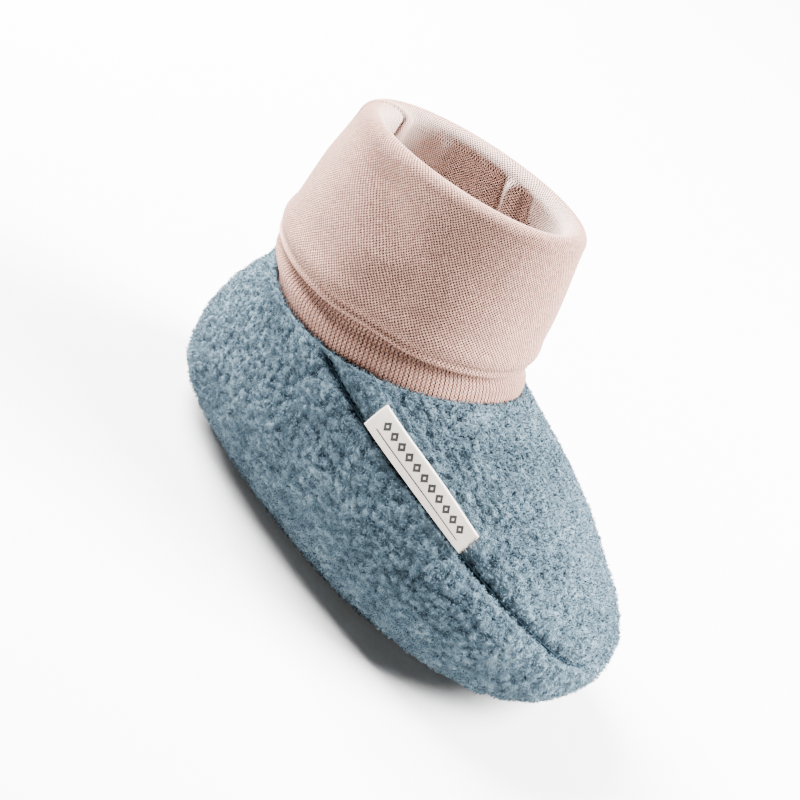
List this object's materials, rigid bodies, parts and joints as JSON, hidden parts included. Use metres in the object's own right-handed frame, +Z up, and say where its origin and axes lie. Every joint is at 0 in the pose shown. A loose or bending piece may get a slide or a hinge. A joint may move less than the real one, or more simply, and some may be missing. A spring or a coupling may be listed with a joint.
{
  "type": "baby wool shoe",
  "caption": "Soft baby shoe of boiled wool with a moccasin seam, a turned-down knitted cuff, a side label tape and a wool sole with grip dots.",
  "frame": {"origin": "on the floor, at the middle of the shoe's length and width", "axes": "+X towards the toe, +Y towards the shoe's left, +Z up"},
  "size_m": [0.1196, 0.0684, 0.0847],
  "materials": {
    "blue_wool": "dusty blue boiled wool with a short curly nap",
    "sole_wool": "the same wool with a flatter nap",
    "felt": "grey felt",
    "pink_knit": "pale peach cotton knit, doubled",
    "tape": "cream woven cotton tape",
    "grip": "clear printed silicone dots"
  },
  "bodies": {
    "root": {"upper": "blue_wool", "sole": "sole_wool", "insole": "felt", "cuff": "pink_knit", "label": "tape", "grip_dot_01": "grip", "grip_dot_02": "grip", "grip_dot_03": "grip", "grip_dot_04": "grip", "grip_dot_05": "grip", "grip_dot_06": "grip", "grip_dot_07": "grip", "grip_dot_08": "grip", "grip_dot_09": "grip", "grip_dot_10": "grip", "grip_dot_11": "grip", "grip_dot_12": "grip", "grip_dot_13": "grip"}
  },
  "joints": []
}
